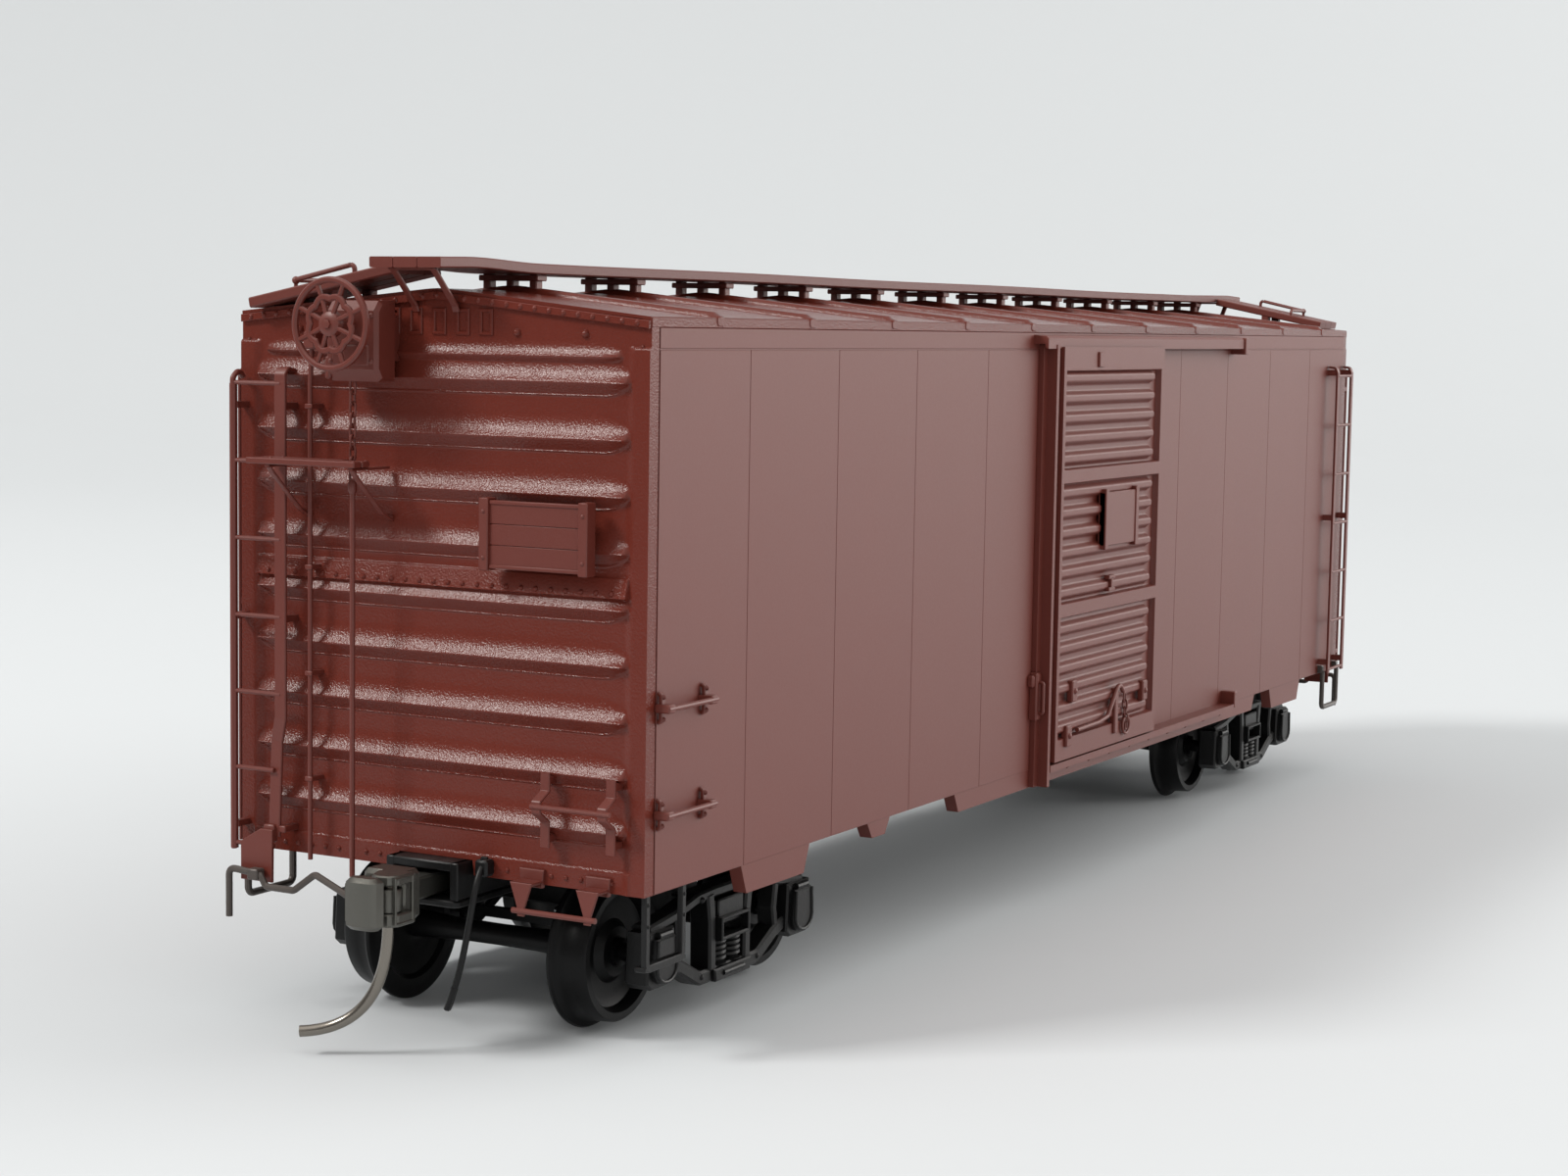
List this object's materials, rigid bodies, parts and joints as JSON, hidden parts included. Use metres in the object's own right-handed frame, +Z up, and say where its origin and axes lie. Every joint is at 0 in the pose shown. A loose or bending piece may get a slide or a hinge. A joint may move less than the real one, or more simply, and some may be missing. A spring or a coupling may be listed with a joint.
{
  "type": "model box car",
  "caption": "Scale model steel box car with sliding doors, ribbed ends, roof walk, swivelling trucks with rolling wheelsets and knuckle couplers.",
  "frame": {"origin": "on the plane through the lowest points of the wheel flanges, below the middle of the car", "axes": "+Z up, +X along the car towards the end without the hand brake, +Y towards the left side seen by someone facing +X"},
  "size_m": [0.1632, 0.0364, 0.0516],
  "materials": {
    "oxide_paint": "satin red oxide paint",
    "black_plastic": "moulded black",
    "wheel_metal": "blackened",
    "axle_steel": "blackened",
    "coupler_metal": "bare casting",
    "pin_metal": "drawn wire",
    "plain_steel": "plain",
    "primed_wire": "grey brown coated wire"
  },
  "bodies": {
    "car": {"air_hoses": "black_plastic", "air_reservoir": "black_plastic", "ballast_weight": "plain_steel", "brake_chain": "oxide_paint", "brake_cylinder": "black_plastic", "brake_housing": "oxide_paint", "brake_pipe": "black_plastic", "brake_rigging": "black_plastic", "brake_step": "oxide_paint", "control_valve": "black_plastic", "corner_platforms": "oxide_paint", "coupler_box_lids": "coupler_metal", "coupler_boxes": "coupler_metal", "door_tracks": "oxide_paint", "end_a": "oxide_paint", "end_b": "oxide_paint", "end_handholds": "oxide_paint", "end_ladders": "oxide_paint", "mounting_screws": "plain_steel", "placard_boards": "oxide_paint", "retainer_pipe": "oxide_paint", "roof": "oxide_paint", "roof_grab_irons": "oxide_paint", "running_board": "oxide_paint", "running_board_braces": "oxide_paint", "running_board_saddles": "oxide_paint", "side_grab_irons": "oxide_paint", "side_ladders": "oxide_paint", "side_left": "oxide_paint", "side_right": "oxide_paint", "sill_steps": "primed_wire", "uncoupling_levers": "primed_wire", "underframe": "black_plastic"},
    "door_right": {"door_right": "oxide_paint"},
    "door_left": {"door_left": "oxide_paint"},
    "hand_brake_wheel": {"brake_wheel": "oxide_paint"},
    "coupler_b": {"coupler_b": "coupler_metal", "knuckle_spring_b": "pin_metal"},
    "knuckle_b": {"knuckle_b": "coupler_metal", "trip_pin_b": "pin_metal"},
    "truck_b": {"truck_b_sideframes": "black_plastic", "truck_b_bolster": "black_plastic", "truck_b_springs": "black_plastic", "truck_b_brake_beams": "black_plastic"},
    "coupler_a": {"coupler_a": "coupler_metal", "knuckle_spring_a": "pin_metal"},
    "knuckle_a": {"knuckle_a": "coupler_metal", "trip_pin_a": "pin_metal"},
    "truck_a": {"truck_a_sideframes": "black_plastic", "truck_a_bolster": "black_plastic", "truck_a_springs": "black_plastic", "truck_a_brake_beams": "black_plastic"},
    "wheelset_b_outer": {"truck_b_outer_wheels": "wheel_metal", "truck_b_outer_axle": "axle_steel"},
    "wheelset_b_inner": {"truck_b_inner_wheels": "wheel_metal", "truck_b_inner_axle": "axle_steel"},
    "wheelset_a_outer": {"truck_a_outer_wheels": "wheel_metal", "truck_a_outer_axle": "axle_steel"},
    "wheelset_a_inner": {"truck_a_inner_wheels": "wheel_metal", "truck_a_inner_axle": "axle_steel"}
  },
  "joints": [
    {"name": "door_right_slide", "type": "slide", "parent": "car", "child": "door_right", "axis": [1, 0, 0], "range_m": [0, 0.0215]},
    {"name": "door_left_slide", "type": "slide", "parent": "car", "child": "door_left", "axis": [-1, 0, 0], "range_m": [0, 0.0215]},
    {"name": "hand_brake_turn", "type": "hinge", "parent": "car", "child": "hand_brake_wheel", "pos_m": [-0.0775, 0.0047, 0.0473], "axis": [1, 0, 0], "continuous": true},
    {"name": "truck_b_swivel", "type": "hinge", "parent": "car", "child": "truck_b", "pos_m": [-0.055, 0, 0.0089], "axis": [0, 0, 1], "range_deg": [-12, 12]},
    {"name": "wheelset_b_outer_roll", "type": "hinge", "parent": "truck_b", "child": "wheelset_b_outer", "pos_m": [-0.06463, 0, 0.0054], "axis": [0, 1, 0], "continuous": true},
    {"name": "wheelset_b_inner_roll", "type": "hinge", "parent": "truck_b", "child": "wheelset_b_inner", "pos_m": [-0.04537, 0, 0.0054], "axis": [0, 1, 0], "continuous": true},
    {"name": "coupler_b_swing", "type": "hinge", "parent": "car", "child": "coupler_b", "pos_m": [-0.067, 0, 0.0105], "axis": [0, 0, 1], "range_deg": [-10, 10]},
    {"name": "knuckle_b_open", "type": "hinge", "parent": "coupler_b", "child": "knuckle_b", "pos_m": [-0.0787, -0.0009, 0.0105], "axis": [0, 0, 1], "range_deg": [0, 20]},
    {"name": "truck_a_swivel", "type": "hinge", "parent": "car", "child": "truck_a", "pos_m": [0.055, 0, 0.0089], "axis": [0, 0, 1], "range_deg": [-12, 12]},
    {"name": "wheelset_a_outer_roll", "type": "hinge", "parent": "truck_a", "child": "wheelset_a_outer", "pos_m": [0.06463, 0, 0.0054], "axis": [0, 1, 0], "continuous": true},
    {"name": "wheelset_a_inner_roll", "type": "hinge", "parent": "truck_a", "child": "wheelset_a_inner", "pos_m": [0.04537, 0, 0.0054], "axis": [0, 1, 0], "continuous": true},
    {"name": "coupler_a_swing", "type": "hinge", "parent": "car", "child": "coupler_a", "pos_m": [0.067, 0, 0.0105], "axis": [0, 0, 1], "range_deg": [-10, 10]},
    {"name": "knuckle_a_open", "type": "hinge", "parent": "coupler_a", "child": "knuckle_a", "pos_m": [0.0787, 0.0009, 0.0105], "axis": [0, 0, 1], "range_deg": [0, 20]}
  ]
}
